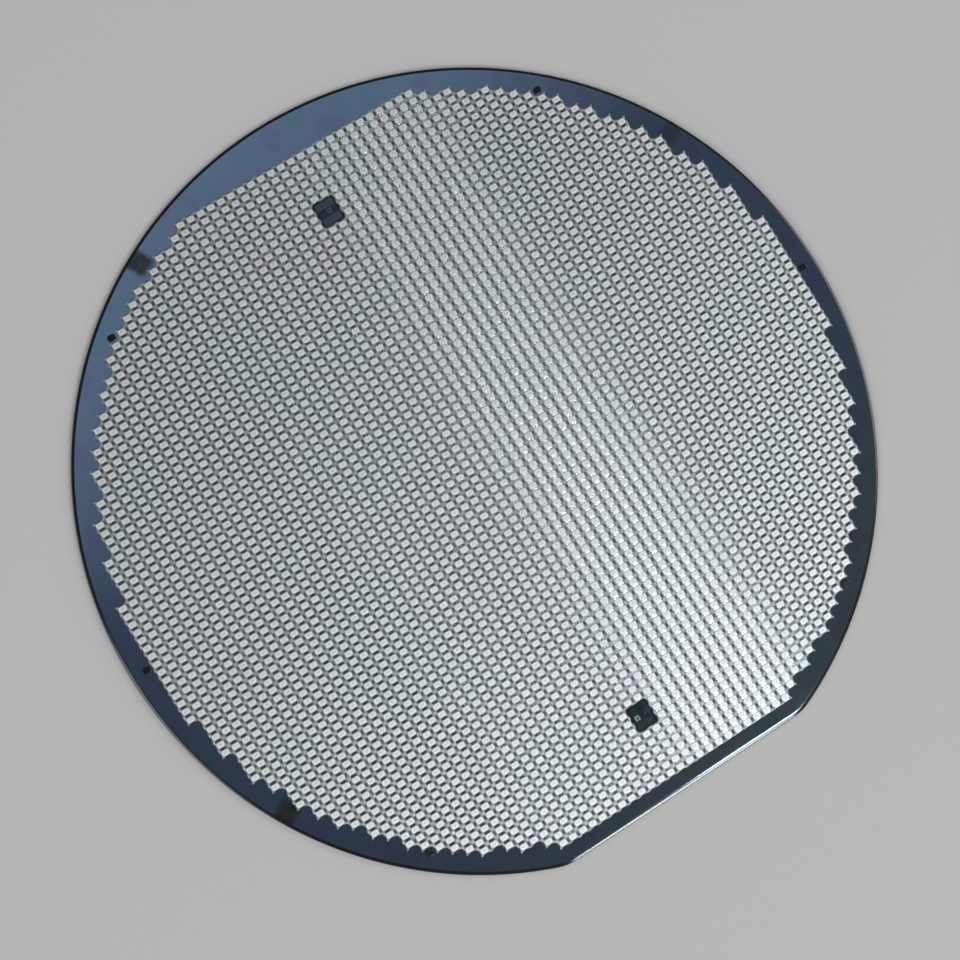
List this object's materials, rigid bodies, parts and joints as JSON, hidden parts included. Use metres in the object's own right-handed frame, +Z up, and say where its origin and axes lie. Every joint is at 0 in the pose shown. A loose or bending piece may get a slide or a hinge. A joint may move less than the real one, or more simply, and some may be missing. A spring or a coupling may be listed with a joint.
{
  "type": "silicon wafer",
  "caption": "Thin round silicon disc with one straight flat, a ground edge and a stepped field of small metallised dies on its polished face.",
  "frame": {"origin": "centre of the disc's round edge, on the back face", "axes": "+Z up through the die side, -Y towards the primary flat, +X along the flat to the right seen from above"},
  "size_m": [0.125, 0.1211, 0.0007],
  "materials": {
    "wafer": "satin metal dies on polished dark blue silicon"
  },
  "bodies": {
    "root": {"wafer": "wafer"}
  },
  "joints": []
}
